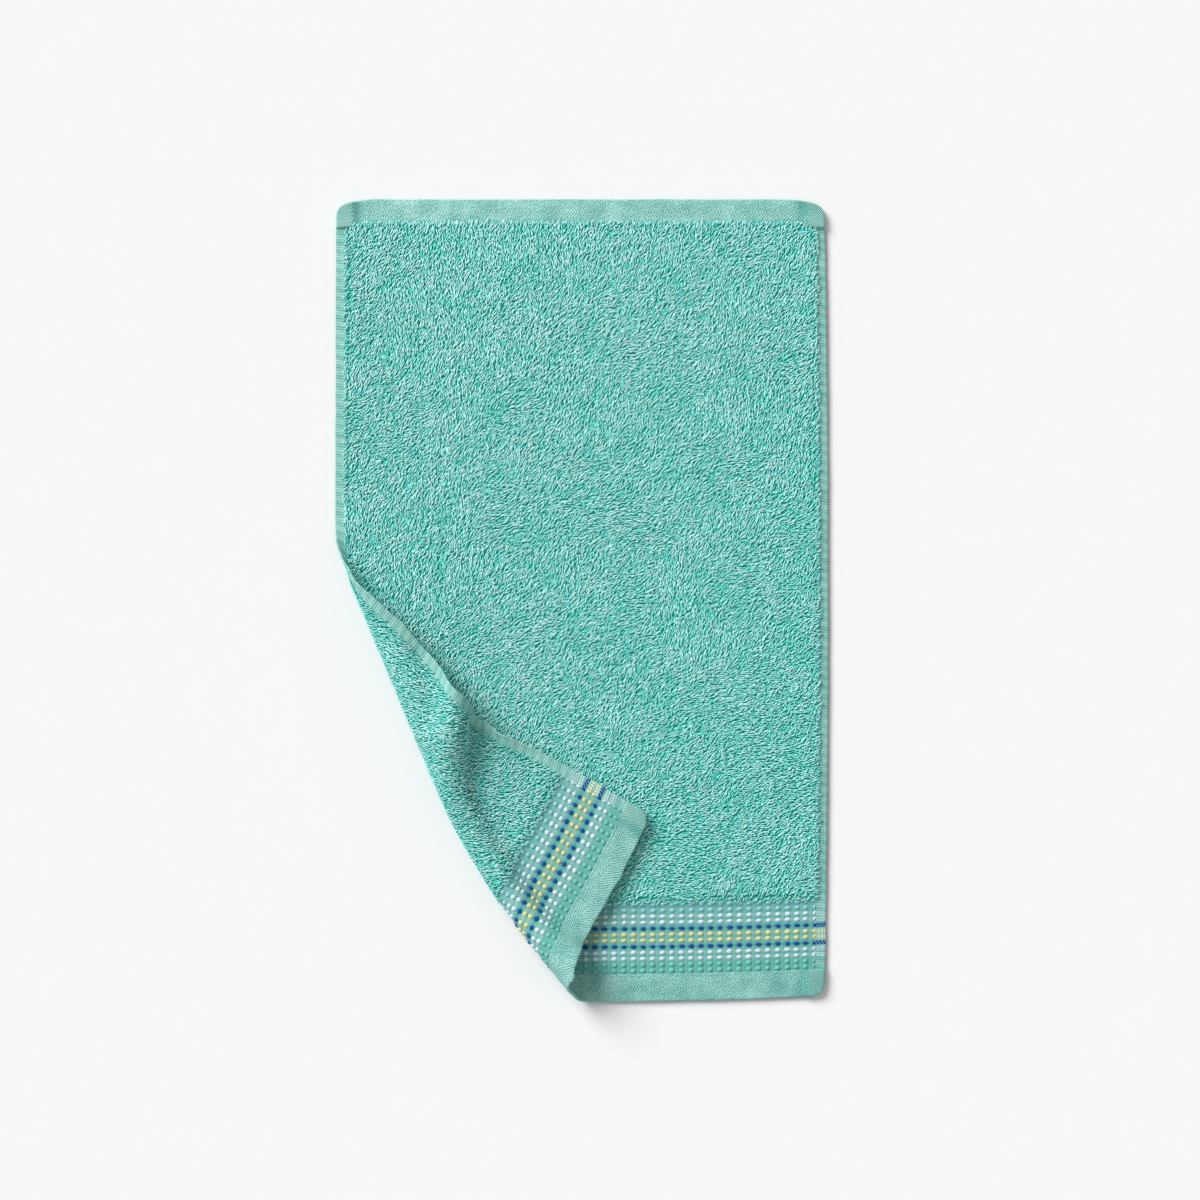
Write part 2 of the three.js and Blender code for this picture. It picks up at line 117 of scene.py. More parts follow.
def startNet():
    u, v = np.meshgrid(np.arange(net["cols"] + 1) * net["step"], np.arange(net["rows"] + 1) * net["step"],
                       indexing="ij")
    x, y = layFlat(u, v)
    lean = [math.radians(a) for a in turn["lean"]]
    points = [fromCorner(p) for p in turn["points"]]
    along = [np.array((math.sin(a), -math.cos(a))) for a in lean]
    gap = points[1] - points[0]
    cross = along[0][0] * along[1][1] - along[0][1] * along[1][0]
    t = (gap[0] * along[1][1] - gap[1] * along[1][0]) / cross
    meet = points[0] + t * along[0]
    middle = sum(lean) / 2
    side = (x - meet[0]) * math.sin(middle) - (y - meet[1]) * math.cos(middle)
    down = (x - meet[0]) * along[1][0] + (y - meet[1]) * along[1][1]
    near, mid, far = turn["radius"]
    one = rollOver(x, y, points[0], lean[0], near)
    widening = np.clip(down / turn["farReach"], 0, 1.2) ** 1.5
    two = rollOver(x, y, points[1], lean[1], mid + (far - mid) * widening)
    share = 1 / (1 + np.exp(-side / turn["blend"]))
    mixed = [a * (1 - share) + b * share for a, b in zip(one, two)]
    past, rest = mixed[3], towel["full"] / 2
    ridge = turn["ridgeHeight"] * np.exp(-(side / turn["ridgeWidth"]) ** 2) * np.clip((past - 10) / 50, 0, 1)
    floor = rest + (towel["full"] + turn["restGap"]) * np.clip((past + 2) / 8, 0, 1)
    drop = np.clip((past - 14) / 30, 0, 1)
    z = (rest + ridge + mixed[2]) * (1 - drop) + (floor + ridge) * drop
    free = liftDistance(x, y) <= 0
    free[-1, :] = free[:, -1] = False
    place = np.where(free[..., None], np.stack((mixed[0], mixed[1], z), -1),
                     np.stack((x, y, np.full(x.shape, rest)), -1))
    return place, np.stack((x, y), -1), floor, free


def netThreads(flat, free):  # pairs of knots that keep their flat distance, in two alternating sets
    cols, rows = flat.shape[0], flat.shape[1]
    i, j = np.meshgrid(np.arange(cols), np.arange(rows), indexing="ij")
    weights, spots = free.astype(float).ravel(), flat.reshape(-1, 2)
    threads = []
    for di, dj, pull in net["links"]:
        fits = (i + di < cols) & (j + dj < rows) & (j + dj >= 0)
        half = (i // di if di else j // dj) % 2
        for part in (0, 1):
            pick = fits & (half == part)
            a = (i * rows + j)[pick]
            b = a + di * rows + dj
            keep = weights[a] + weights[b] > 0
            a, b = a[keep], b[keep]
            shareA = (weights[a] / (weights[a] + weights[b]))[:, None]
            threads.append((a, b, np.linalg.norm(spots[a] - spots[b], axis=1), pull, shareA))
    return threads


def settleNet():  # the turned corner comes to rest under its own weight
    place, flat, floor, free = startNet()
    cols, rows = free.shape
    threads = netThreads(flat, free)
    knots, ground, loose = place.reshape(-1, 3).copy(), floor.ravel(), free.ravel()
    limit = [fromCorner(p) for p in turn["limit"]]
    low = loose & (flat.reshape(-1, 2)[:, 1] < limit[0][1] + turn["lowMargin"])
    knotAt = lambda u, v: int(u / net["step"]) * rows + int(v / net["step"])
    aims = [(knotAt(u, v), fromCorner((x, y))) for u, v, x, y in turn["aims"]]
    ridges = [(knotAt(u, v), z) for u, v, z in turn["ridges"]]
    speed = np.zeros_like(knots)
    for _ in range(net["rounds"]):
        before = knots.copy()
        knots[loose] += speed[loose] * net["drag"]
        knots[loose, 2] -= net["weight"]
        for _ in range(net["passes"]):
            for a, b, length, pull, shareA in threads:
                d = knots[b] - knots[a]
                now = np.sqrt((d * d).sum(1))
                d *= (pull * (now - length) / now)[:, None]
                knots[a] += d * shareA
                knots[b] -= d * (1 - shareA)
            knots[loose, 2] = np.maximum(knots[loose, 2], ground[loose])
            for k, spot in aims:
                knots[k, :2] += turn["aimPull"] * (spot - knots[k, :2])
            for k, z in ridges:
                knots[k, 2] = max(knots[k, 2], z)
            for a, b in zip(limit[:-1], limit[1:]):
                d = (b - a) / np.linalg.norm(b - a)
                past = np.minimum((knots[:, 1] - a[1]) * d[0] - (knots[:, 0] - a[0]) * d[1], 0) * low
                knots[:, 0] += past * d[1]
                knots[:, 1] -= past * d[0]
        speed = knots - before
    return knots.reshape(cols, rows, 3)


def wholeNet():  # the settled knots set into the flat rest of the towel, with one row past each edge
    settled = settleNet()
    counts = [math.ceil(towel[k] / net["step"]) + 4 for k in ("width", "length")]
    u, v = np.meshgrid(*[(np.arange(n) - 1) * net["step"] for n in counts], indexing="ij")
    x, y = layFlat(u, v)
    knots = np.stack((x, y, np.full(x.shape, towel["full"] / 2)), -1)
    knots[1:settled.shape[0] + 1, 1:settled.shape[1] + 1] = settled
    knots[0] = 2 * knots[1] - knots[2]
    knots[:, 0] = 2 * knots[:, 1] - knots[:, 2]
    return knots


knots = wholeNet()
print("corner settled, highest knot", round(float(knots[..., 2].max()), 1), "mm")


def sheetFrame(u, v):  # middle of the cloth and its normal
    weights = lambda t: ((1 - t) ** 3 / 6, (3 * t ** 3 - 6 * t * t + 4) / 6,
                         (-3 * t ** 3 + 3 * t * t + 3 * t + 1) / 6, t ** 3 / 6)
    slopes = lambda t: (-(1 - t) ** 2 / 2, (3 * t * t - 4 * t) / 2, (-3 * t * t + 2 * t + 1) / 2, t * t / 2)
    i = np.clip(np.floor(u / net["step"]), 0, knots.shape[0] - 4).astype(int)
    j = np.clip(np.floor(v / net["step"]), 0, knots.shape[1] - 4).astype(int)
    s, t = u / net["step"] - i, v / net["step"] - j
    ws, ds, wt, dt = weights(s), slopes(s), weights(t), slopes(t)
    place, alongU, alongV = (np.zeros(u.shape + (3,)) for _ in range(3))
    for a in range(4):
        for b in range(4):
            knot = knots[i + a, j + b]
            place += knot * (ws[a] * wt[b])[..., None]
            alongU += knot * (ds[a] * wt[b])[..., None]
            alongV += knot * (ws[a] * dt[b])[..., None]
    normal = np.cross(alongU, alongV)
    return place, normal / np.linalg.norm(normal, axis=-1, keepdims=True)


def thicknessAt(u, v):
    edge = np.minimum(u, towel["width"] - u)
    pile = (smooth(edge, 0, towel["side"]) * smooth(v, towel["borderEnd"] - 7, towel["borderEnd"])
            * smooth(towel["length"] - v, towel["topHem"] - 7, towel["length"] - towel["pileEnd"]))
    inHem = 1 - smooth(np.minimum(v - towel["bottomHem"], towel["pileEnd"] - v), 0, 4)
    extra = towel["hemThick"] - towel["sideThick"]
    thin = towel["sideThick"] + extra * np.maximum(inHem, smooth(edge, 3, towel["side"]))
    return thin + (towel["full"] - thin) * pile


def cadShift():  # the part's solids are centred on the towel's box
    low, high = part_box("top_hem")
    v = np.full(2, towel["length"] - towel["topHem"])
    ends = layFlat(np.array((0.0, towel["width"])), v)[0]
    return np.array((500 * (low[0] + high[0]) - ends.mean(), 1000 * high[1] - towel["length"] / 2, 0))


shift = cadShift()
print("shift", shift)


edgeRest = 0.15  # share of the gap under them that the thin hems and strips sink through
loft = 2.5  # how much higher the turned corner stands than a pressed one, mm


def drape(u, v, w):  # flat cloth to the draped towel, in metres
    u, v, w = (np.asarray(a, float) for a in np.broadcast_arrays(u, v, w))
    place, normal = sheetFrame(u, v)
    place = place + w[..., None] * normal + shift
    place[..., 2] -= edgeRest * (towel["full"] - thicknessAt(u, v)) / 2 * normal[..., 2] ** 2
    place[..., 2] = np.maximum(place[..., 2] + loft * np.clip(-normal[..., 2], 0, 1), 0.0)
    return place * 0.001


def makePiece(name, places, faces, maps):  # a map is per point, or per corner of each face
    mesh = bpy.data.meshes.new(name)
    mesh.vertices.add(len(places))
    mesh.vertices.foreach_set("co", np.ascontiguousarray(places, np.float32).ravel())
    mesh.loops.add(faces.size)
    mesh.loops.foreach_set("vertex_index", np.ascontiguousarray(faces, np.int32).ravel())
    mesh.polygons.add(len(faces))
    mesh.polygons.foreach_set("loop_start", (np.arange(len(faces)) * faces.shape[1]).astype(np.int32))
    mesh.polygons.foreach_set("use_smooth", np.ones(len(faces), bool))
    for mapName, spots in maps.items():
        layer = mesh.uv_layers.new(name=mapName)
        corners = spots if spots.ndim == 3 else spots[faces]
        layer.data.foreach_set("uv", np.ascontiguousarray(corners, np.float32).ravel())
    mesh.update(calc_edges=True)
    piece = bpy.data.objects.new(name, mesh)
    bpy.context.scene.collection.objects.link(piece)
    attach(piece, "root")
    return piece


# Shader maths on sockets
class Socket:
    def __init__(self, tree, end=None):
        self.tree, self.end = tree, end

    def node(self, kind, settings=None, inputs=None, out=0):
        made = self.tree.nodes.new(kind)
        for key, value in (settings or {}).items():
            if key == "stops":
                ramp = made.color_ramp
                while len(ramp.elements) < len(value):
                    ramp.elements.new(1.0)
                for stop, (position, colour) in zip(ramp.elements, value):
                    stop.position, stop.color = position, (*colour, 1.0)
            else:
                setattr(made, key, value)
        for key, value in (inputs or {}).items():
            if isinstance(value, Socket):
                self.tree.links.new(value.end, made.inputs[key])
            else:
                made.inputs[key].default_value = value
        return Socket(self.tree, made.outputs[out] if made.outputs else None)

    def maths(self, operation, *values):
        return self.node("ShaderNodeMath", {"operation": operation}, dict(enumerate(values)))

    def __add__(self, other): return self.maths("ADD", self, other)
    def __sub__(self, other): return self.maths("SUBTRACT", self, other)
    def __rsub__(self, other): return self.maths("SUBTRACT", other, self)
    def __mul__(self, other): return self.maths("MULTIPLY", self, other)
    def __truediv__(self, other): return self.maths("DIVIDE", self, other)
    def __gt__(self, other): return self.maths("GREATER_THAN", self, other)
    def __lt__(self, other): return self.maths("LESS_THAN", self, other)

    def sine(self): return self.maths("SINE", self)
    def fraction(self): return self.maths("FRACT", self)
    def size(self): return self.maths("ABSOLUTE", self)

    def between(self, low, high, start=0.0, end=1.0):  # this value's range carried smoothly onto another
        return self.node("ShaderNodeMapRange", {"interpolation_type": "SMOOTHSTEP"},
                         {0: self, 1: low, 2: high, 3: start, 4: end})

    def mix(self, low, high):  # this value mixes two colours
        ends = [c if isinstance(c, Socket) else (*c, 1.0) for c in (low, high)]
        return self.node("ShaderNodeMix", {"data_type": "RGBA"}, {0: self, 6: ends[0], 7: ends[1]}, out=2)


def startMaterial(name):
    material = bpy.data.materials.new(name)
    material.use_nodes = True
    material.node_tree.nodes.clear()
    return material, Socket(material.node_tree)


def endMaterial(paint, colour, roughness, height=None, depth=0.1, sheen=0.25, specular=0.25):
    shader = paint.node("ShaderNodeBsdfPrincipled", inputs={
        "Base Color": colour, "Roughness": roughness, "Sheen Weight": sheen, "Sheen Roughness": 0.5,
        "Specular IOR Level": specular})
    if height is not None:  # depth in millimetres
        bump = paint.node("ShaderNodeBump",
                          inputs={"Height": height, "Distance": depth * 0.001, "Strength": 1.0})
        paint.tree.links.new(bump.end, shader.end.node.inputs["Normal"])
    paint.node("ShaderNodeOutputMaterial", inputs={"Surface": shader})


def mapPlace(paint, name):  # the two coordinates of a UV map
    split = paint.node("ShaderNodeSeparateXYZ", inputs={0: paint.node("ShaderNodeUVMap", {"uv_map": name})})
    return split, Socket(paint.tree, split.end.node.outputs[1])


def clothPlace(paint):  # u and v of the flat cloth in millimetres
    u, v = mapPlace(paint, "cloth")
    return u * 1000.0, v * 1000.0


def tinted(paint, colour, tint):
    return paint.node("ShaderNodeMix", {"data_type": "RGBA", "blend_type": "MULTIPLY"},
                      {0: 1.0, 6: colour, 7: tint}, out=2)


def cloudy(paint, u, v, cell, detail=2.0):  # soft noise over the flat cloth, cell in millimetres
    place = paint.node("ShaderNodeCombineXYZ", inputs={0: u / cell, 1: v / cell})
    return paint.node("ShaderNodeTexNoise", inputs={"Vector": place, "Scale": 1.0, "Detail": detail})


# In mint, deep, mid and tip colour each terry loop from foot to crown: painted shade low down, painted
# highlight on top
mint = dict(tip=(0.60, 0.98, 0.95), mid=(0.13, 0.82, 0.73), deep=(0.0, 0.40, 0.31),
            darker=(0.66, 0.93, 0.91), lighter=(1.13, 1.0, 1.02), ground=(0.03, 0.52, 0.44),
            weave=(0.23, 0.57, 0.51), weaveDark=(0.07, 0.33, 0.28), hem=(0.46, 0.81, 0.75),
            hemDark=(0.09, 0.36, 0.31), side=(0.49, 0.82, 0.76), sideDark=(0.11, 0.36, 0.31))


def pileMaterial(name, tint=1.0):
    material, paint = startMaterial(name)
    tone, height = mapPlace(paint, "OFBake")
    # painted shade and highlight: the colour runs from dark at each loop's foot to pale at its crown
    stops = ((0.0, mint["deep"]), (0.56, mint["mid"]), (0.9, mint["tip"]))
    ramp = paint.node("ShaderNodeValToRGB", {"stops": stops}, {0: height})
    # a tint under 1 darkens the whole pile as painted shade, used for the back loops seen on the turned
    # corner
    darker, lighter = (tuple(c * tint for c in mint[key]) for key in ("darker", "lighter"))
    shade = tinted(paint, ramp, tone.between(0.0, 1.0).mix(darker, lighter))
    endMaterial(paint, shade, 0.9, sheen=0.08, specular=0.1)
    return material


def litFromUpperLeft(paint, colour, u, v):  # painted light: the colour is lighter towards the upper left, where the light comes from, and darker towards the lower right
    share = u * (0.5 / towel["width"]) - v * (0.5 / towel["length"]) + 0.5
    return tinted(paint, colour, share.mix((1.2, 1.13, 1.13), (0.86, 0.92, 0.92)))


def weave(u, v, warp, weft):  # plain weave, threads over and under, 0 to 1
    return ((u * (math.pi / warp)).sine() * (v * (math.pi / weft)).sine()) * 0.5 + 0.5


def groundMaterial():  # the cloth that shows between the loops
    material, paint = startMaterial("terryGround")
    u, v = clothPlace(paint)
    threads = weave(u, v, 0.9, 0.7)
    colour = (threads * 0.6 + cloudy(paint, u, v, 9.0) * 0.4).mix(mint["deep"], mint["ground"])
    endMaterial(paint, colour, 0.9, threads, 0.15)
    return material


def hemMaterial():
    material, paint = startMaterial("hemTwill")
    u, v = clothPlace(paint)
    mid = (v - 250.0).size() - 241.0  # distance from the middle line of the nearer hem
    chevron = (u + mid.size() * 0.8) * (2 * math.pi / hemPlan["twill"])
    threads = (v * (2 * math.pi / hemPlan["weft"])).sine()
    twill = chevron.sine() * 0.5 + 0.5
    edge = ((u - towel["width"] / 2).size() - (towel["width"] / 2 - hemPlan["square"])) > 0.0
    plain = weave(u, v, 0.62, 0.8)
    grain = cloudy(paint, u * 1.3 + v, v - u * 0.4, 1.25, 1.0).between(0.3, 0.7)
    relief = twill * 0.42 + grain * 0.42 + threads * 0.08 + 0.06
    relief = relief + edge * (plain - relief)
    cloud = cloudy(paint, u, v, 14.0, 3.0)
    side = towel["width"] / 2 - (u - towel["width"] / 2).size()
    stepShade = side.between(8.6, 11.5) * side.between(12.5, 21.0, 1.0, 0.0)  # painted shade on the step down from the folded ends
    colour = (relief * 1.6 + cloud * 1.3 - stepShade * 0.4 - 0.93).mix(mint["hemDark"], mint["hem"])
    pale = (edge * 0.35).mix((1.0, 1.0, 1.0), (1.02, 1.0, 0.96))
    colour = litFromUpperLeft(paint, tinted(paint, colour, pale), u, v)
    endMaterial(paint, colour, relief * -0.1 + 0.88, relief, 0.55, sheen=0.05)
    return material


rowStart, rowPitch = 1.65, 3.73
rowTints = (("aqua_row_1", "aqua"), ("aqua_row_2", "aqua"), ("white_row_1", "white"),
            ("white_row_2", "white"), ("royal_blue_row_1", "royal_blue"), ("yellow_row_1", "yellow"),
            ("yellow_row_2", "yellow"),
            ("royal_blue_row_2", "royal_blue"), ("white_row_3", "white"), ("white_row_4", "white"),
            ("light_blue_row_1", "light_blue"), ("light_blue_row_2", "light_blue"))
royalInStrip = (0.0, 0.06, 0.29)  # the blue yarn is darker in the side strips
yarns = dict(aqua=((0.08, 0.40, 0.33), (0.22, 0.65, 0.56)),  # dark and light of each yarn
             white=((0.44, 0.60, 0.66), (0.74, 0.85, 0.93)),
             royal_blue=((0.0, 0.04, 0.20), (0.0, 0.12, 0.41)),
             yellow=((0.46, 0.50, 0.20), (0.82, 0.78, 0.46)),
             light_blue=((0.18, 0.46, 0.50), (0.38, 0.68, 0.78)))


def rowCentre(k):
    return towel["borderStart"] + rowStart + k * rowPitch


def selvedgeMaterial():
    material, paint = startMaterial("selvedgeRib")
    u, v = clothPlace(paint)
    rib = ((v + u * 0.12) * (2 * math.pi / 1.7)).sine() * 0.5 + 0.5
    block = ((v + u * 0.3) * (2 * math.pi / 6.1)).sine() * 0.5 + 0.5
    cords = (u * (2 * math.pi / 0.9)).sine() * 0.5 + 0.5
    relief = rib * 0.6 + cords * 0.4
    cloud = cloudy(paint, u, v, 12.0, 3.0)
    colour = (relief * 0.5 + cloud * 0.5 + block * 0.24 - 0.3).mix(mint["sideDark"], mint["side"])
    checks = weave(u, v, 1.1, 1.0) > 0.5
    zigzag = ((u + v * 0.9) / 2.1).fraction() < 0.78
    for k, (_, tint) in enumerate(rowTints):
        if tint == "aqua":
            continue
        shut = (v - rowCentre(k)).size() < 1.35
        if tint == "yellow":
            drawn = shut * (((u / 1.9).fraction() < 0.62) * 0.8)
        elif tint == "royal_blue":
            drawn = shut * zigzag
        else:
            drawn = shut * (checks * (0.55 if tint == "white" else 0.3))
        colour = drawn.mix(colour, royalInStrip if tint == "royal_blue" else yarns[tint][1])
    endMaterial(paint, litFromUpperLeft(paint, colour, u, v), relief * -0.1 + 0.88, relief, 0.28, sheen=0.05)
    return material


def borderMaterial():
    material, paint = startMaterial("borderWeave")
    u, v = clothPlace(paint)
    column = ((u - borderPlan["firstColumn"]) / borderPlan["pitch"]).fraction()  # 0.5 is halfway between dots
    between = (column - 0.5).size()
    rib = between.between(0.05, 0.16, 1.0, 0.0)
    groove = (between - 0.2).size().between(0.0, 0.06, 1.0, 0.0)
    threads = weave(u, v, 0.5, 0.42)
    relief = threads * 0.6 + rib * 0.12 + 0.2 - groove * 0.1
    cloud = cloudy(paint, u, v, 10.0)
    colour = (relief * 0.8 + cloud * 0.3 - 0.1).mix(mint["weaveDark"], mint["weave"])
    specks = weave(u, v, 0.75, 0.65).between(0.45, 0.75)
    for k, (_, tint) in enumerate(rowTints):
        if tint != "aqua":
            share = dict(white=0.5, light_blue=0.4, yellow=0.5, royal_blue=0.35)[tint]
            row = (v - rowCentre(k)).size().between(0.7, 1.7, share, 0.0)
            colour = (row * specks).mix(colour, yarns[tint][1])
    endMaterial(paint, litFromUpperLeft(paint, colour, u, v), 0.88, relief, 0.25, sheen=0.05)
    return material


def yarnMaterial(tint):
    material, paint = startMaterial(tint + "Yarn")
    along, across = mapPlace(paint, "cloth")
    strands = (across * 34.0 + along * 4.0).sine() * 0.5 + 0.5
    cell = paint.node("ShaderNodeCombineXYZ", inputs={0: along * 3.0, 1: across * 9.0})
    fluff = paint.node("ShaderNodeTexNoise", inputs={"Vector": cell, "Scale": 1.0, "Detail": 2.0})
    dark, light = yarns[tint]
    colour = (strands * 0.5 + fluff * 0.6).mix(dark, light)
    endMaterial(paint, colour, 0.75, strands * 0.6 + fluff * 0.4, 0.16, sheen=0.05, specular=0.2)
    return material


def threadMaterial():
    material, paint = startMaterial("sewingThread")
    along, across = mapPlace(paint, "cloth")
    twist = (along * 22.0 + across * 9.0).sine() * 0.5 + 0.5
    endMaterial(paint, twist.mix(mint["hemDark"], mint["hem"]), 0.6, twist, 0.08, sheen=0.1, specular=0.35)
    return material


# The cloth and what is woven into it
def softNoise(u, v, cell, seed):  # smooth noise over the flat cloth, 0 to 1
    table = np.random.default_rng(seed).random((128, 128))
    x, y = np.asarray(u) / cell + 31.7, np.asarray(v) / cell + 17.3
    i, j = np.floor(x).astype(int), np.floor(y).astype(int)
    s, t = (a * a * (3 - 2 * a) for a in (x - i, y - j))
    pick = lambda a, b: table[(i + a) % 128, (j + b) % 128]
    return ((pick(0, 0) * (1 - s) + pick(1, 0) * s) * (1 - t) + (pick(0, 1) * (1 - s) + pick(1, 1) * s) * t)


def graded(start, end, step, round=0.9):  # even steps with close ones at both ends, for a rounded edge
    fine = round * np.array((0, 0.03, 0.12, 0.3, 0.6, 1.0))
    count = max(1, int(math.ceil((end - start - 2 * round) / step)))
    middle = np.linspace(start + round, end - round, count + 1)
    return np.concatenate((start + fine[:-1], middle, end - fine[-2::-1]))


def rounded(distance, radius):
    return np.sqrt(1 - (1 - np.clip(distance / radius, 0, 1)) ** 2)


def slab(us, vs, top, bottom, wander=None):  # closed sheet between two heights, its rim shared
    u, v = np.meshgrid(us, vs, indexing="ij")
    high, low = top(u, v), bottom(u, v)
    if wander is not None:
        u, v = wander(u, v)
    rim = np.zeros(u.shape, bool)
    rim[0] = rim[-1] = rim[:, 0] = rim[:, -1] = True
    high = np.where(rim, (high + low) / 2, high)
    upper = np.arange(u.size).reshape(u.shape)
    lower = upper.copy()
    lower[~rim] = u.size + np.arange((~rim).sum())
    places = np.concatenate((drape(u, v, high).reshape(-1, 3), drape(u[~rim], v[~rim], low[~rim])))
    ring = lambda a: np.stack((a[:-1, :-1], a[1:, :-1], a[1:, 1:], a[:-1, 1:]), -1).reshape(-1, 4)
    faces = np.concatenate((ring(upper), ring(lower)[:, ::-1]))
    flat = np.stack((u, v), -1).reshape(-1, 2) * 0.001
    corners = flat[ring(upper)]
    cloth = np.concatenate((corners, corners[:, ::-1]))
    return places, faces, {"cloth": cloth}


pieces = []


def clothPiece(name, shape, slotName, material, *nodes):
    places, faces, maps = shape
    piece = makePiece(name, places, faces, maps)
    piece.data.materials.append(material)
    if nodes:
        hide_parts(*nodes)
    pieces.append(piece)
    return piece


cornerReach = 8  # how far in from each edge a corner is rounded


def pulledIn(u, v, pull):  # the four corners are worn round
    side, end = np.minimum(u, towel["width"] - u), np.minimum(v, towel["length"] - v)
    near = pull * (np.clip(1 - side / cornerReach, 0, 1) * np.clip(1 - end / cornerReach, 0, 1)) ** 1.5
    inU, inV = np.where(u < towel["width"] / 2, 1, -1), np.where(v < towel["length"] / 2, 1, -1)
    return u + near * inU, v + near * inV


def rimDistance(u, v, low, high):  # to the nearest edge of a strip that runs across the whole width
    return np.minimum(np.minimum(u, towel["width"] - u), np.minimum(v - low, high - v))


core = dict(half=0.32, inset=0.7, step=2.0, round=0.3, cornerPull=3.4)


def towelCloth():
    us = graded(core["inset"], towel["width"] - core["inset"], core["step"], core["round"])
    vs = graded(core["inset"], towel["length"] - core["inset"], core["step"], core["round"])

    def half(u, v):
        return core["half"] * rounded(rimDistance(u, v, 0, towel["length"]) - core["inset"], core["round"])

    shape = slab(us, vs, half, lambda u, v: -half(u, v), lambda u, v: pulledIn(u, v, core["cornerPull"]))
    return clothPiece("towel_cloth", shape, "ground_weave", groundMaterial(), "ground_cloth")


hemPlan = dict(step=1.0, round=0.85, square=9.0, squareRise=1.7, squareFade=6, pucker=0.6, dimple=0.3,
               cornerPull=2.4, seamIn=1.4, low=17.2, high=15.9, twill=1.8, weft=0.55)


def hem(name, low, high, seam, node):
    width = towel["width"]

    def half(u, v):
        side = np.minimum(u, width - u)
        dimple = hemPlan["dimple"] * np.exp(-((v - seam) / 0.7) ** 2) * smooth(side, 4, 9)
        crease = 0.15 * np.exp(-((side - hemPlan["square"]) / 0.35) ** 2)
        swell = towel["hemThick"] / 2 - dimple - crease
        return swell * rounded(rimDistance(u, v, low, high), hemPlan["round"])

    def puffed(u, v):  # the folded selvedges make both ends thicker
        side = np.minimum(u, width - u)
        fade = 1 - smooth(side, hemPlan["square"], hemPlan["square"] + hemPlan["squareFade"])
        return hemPlan["squareRise"] * fade * rounded(rimDistance(u, v, low, high), hemPlan["round"])

    def pucker(u, v):
        inside = smooth(np.minimum(v - low, high - v), 0, 4)
        return hemPlan["pucker"] * (softNoise(u * 0.5 + v * 0.6, v * 0.7, 7.0, 3) - 0.3) * inside

    def wander(u, v):
        out = 0.35 * (softNoise(v * 0.2, u, 16.0, 9) - 0.5)
        return pulledIn(u + 0.25 * (softNoise(v, u * 0.02, 9.0, 5) - 0.5), v + out, hemPlan["cornerPull"])

    us = graded(0, width, hemPlan["step"], hemPlan["round"])
    vs = graded(low, high, hemPlan["step"] * 0.8, hemPlan["round"])
    top = lambda u, v: half(u, v) + pucker(u, v) + puffed(u, v)
    shape = slab(us, vs, top, lambda u, v: -half(u, v), wander)
    return clothPiece(name, shape, "hem_twill", hemMaterial(), node)


selvedgePlan = dict(width=7.6, half=0.52, rib=0.07, ribPitch=1.7, cord=0.12, step=0.55, round=0.4)


def selvedge(name, left, node):
    width, low, high = towel["width"], towel["bottomHem"] - 0.8, towel["pileEnd"] + 1.6
    us = graded(0, selvedgePlan["width"], 0.8, selvedgePlan["round"])
    vs = np.arange(low, high, selvedgePlan["step"])

    def half(u, v):
        ends = rounded(np.minimum(v - low, high - v), 0.3)
        ends = ends * rounded(np.minimum(u, selvedgePlan["width"] - u), selvedgePlan["round"])
        rib = selvedgePlan["rib"] * np.sin(2 * np.pi * v / selvedgePlan["ribPitch"])
        cord = selvedgePlan["cord"] * np.exp(-((u - 0.9) / 0.6) ** 2)
        return np.maximum(ends, 0) * (selvedgePlan["half"] + rib + cord)

    def wander(u, v):
        edge = 0.4 * (softNoise(v, u * 0, 11.0, 6 + left) - 0.5) * (1 - u / selvedgePlan["width"])
        out = u + edge
        return (out if left else width - out), v

    places, faces, maps = slab(us, vs, half, lambda u, v: -half(u, v), wander)
    if not left:  # mirrored across, so the rings are turned over
        faces, maps = faces[:, ::-1], {key: value[:, ::-1] for key, value in maps.items()}
    return clothPiece(name, (places, faces, maps), "selvedge_rib", selvedgeMaterial(), node)


borderPlan = dict(step=0.9, rise=0.04, half=0.45, ends=(7.2, 12.6, 18.1, 23.8), gaps=43)
borderPlan["firstColumn"] = borderPlan["ends"][-1]
borderPlan["pitch"] = (towel["width"] - 2 * borderPlan["firstColumn"]) / borderPlan["gaps"]


def border():
    us = np.arange(6.6, towel["width"] - 6.5, borderPlan["step"])
    vs = graded(towel["bottomHem"] - 0.2, towel["borderEnd"] + 1.0, 0.8, 0.3)

    def half(u, v):
        column = np.abs(((u - borderPlan["firstColumn"]) / borderPlan["pitch"]) % 1 - 0.5)
        rib = borderPlan["rise"] * np.exp(-(column / 0.1) ** 2)
        return borderPlan["half"] + rib

    shape = slab(us, vs, half, lambda u, v: -half(u, v))
    return clothPiece("border_weave", shape, "border_weave", borderMaterial(), "border_ground")


# Small forms made once and copied over the cloth
def handForm(segments, rings, cut=None):
    bpy.ops.object.select_all(action="DESELECT")
    bpy.ops.mesh.primitive_uv_sphere_add(segments=segments, ring_count=rings, radius=1.0)
    bpy.ops.object.mode_set(mode="EDIT")
    bpy.ops.mesh.select_all(action="SELECT")
    if cut is not None:  # the side against the cloth is cut flat
        bpy.ops.mesh.bisect(plane_co=(0, 0, cut), plane_no=(0, 0, 1), use_fill=True, clear_inner=True)
        bpy.ops.mesh.select_all(action="SELECT")
    bpy.ops.mesh.quads_convert_to_tris(quad_method="BEAUTY", ngon_method="BEAUTY")
    bpy.ops.object.mode_set(mode="OBJECT")
    form = bpy.context.object
    points = np.array([v.co[:] for v in form.data.vertices])
    faces = np.array([p.vertices[:] for p in form.data.polygons])
    bpy.data.objects.remove(form)
    return points, faces


